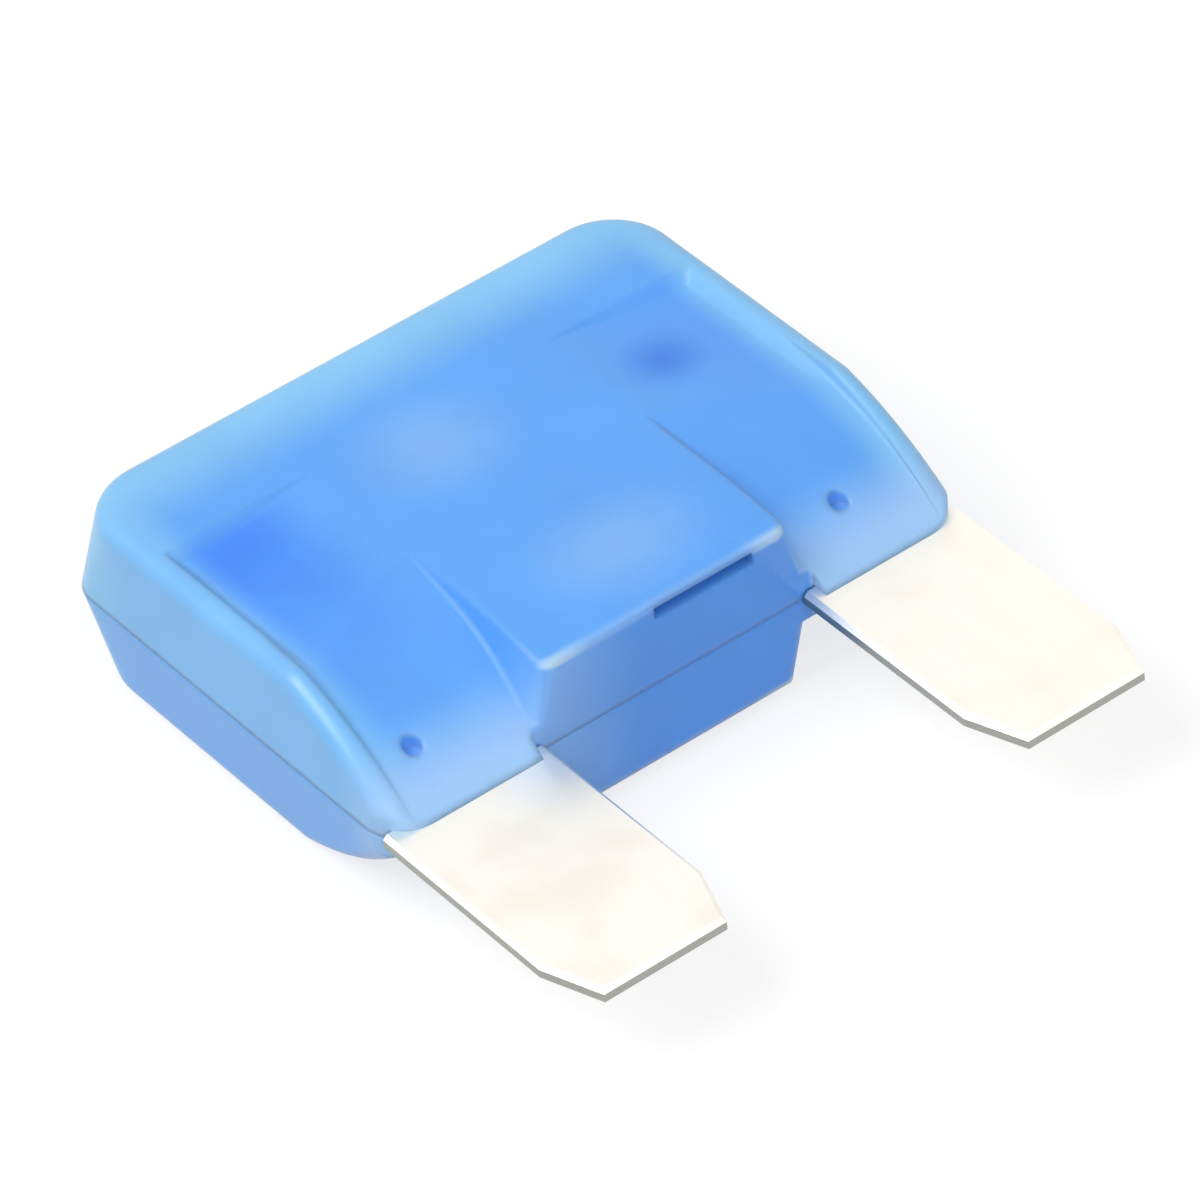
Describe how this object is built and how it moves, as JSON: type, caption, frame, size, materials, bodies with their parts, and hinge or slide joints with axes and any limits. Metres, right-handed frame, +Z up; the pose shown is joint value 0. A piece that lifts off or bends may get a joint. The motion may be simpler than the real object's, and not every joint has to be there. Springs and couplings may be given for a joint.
{
  "type": "automotive blade fuse",
  "caption": "Large plug-in blade fuse: a flat translucent blue housing in two shells round a stamped strip with two bare blades.",
  "frame": {"origin": "bottom centre of the whole fuse as it lies on its rear face", "axes": "+Z up out of the front face, +X across the two blades, +Y towards the head of the housing, blades to -Y"},
  "size_m": [0.0292, 0.0342, 0.0089],
  "materials": {
    "housing": "moulded, satin, translucent",
    "element": "tin-plated zinc strip, satin"
  },
  "bodies": {
    "root": {"front_shell": "housing", "rear_shell": "housing", "fuse_element": "element"}
  },
  "joints": []
}
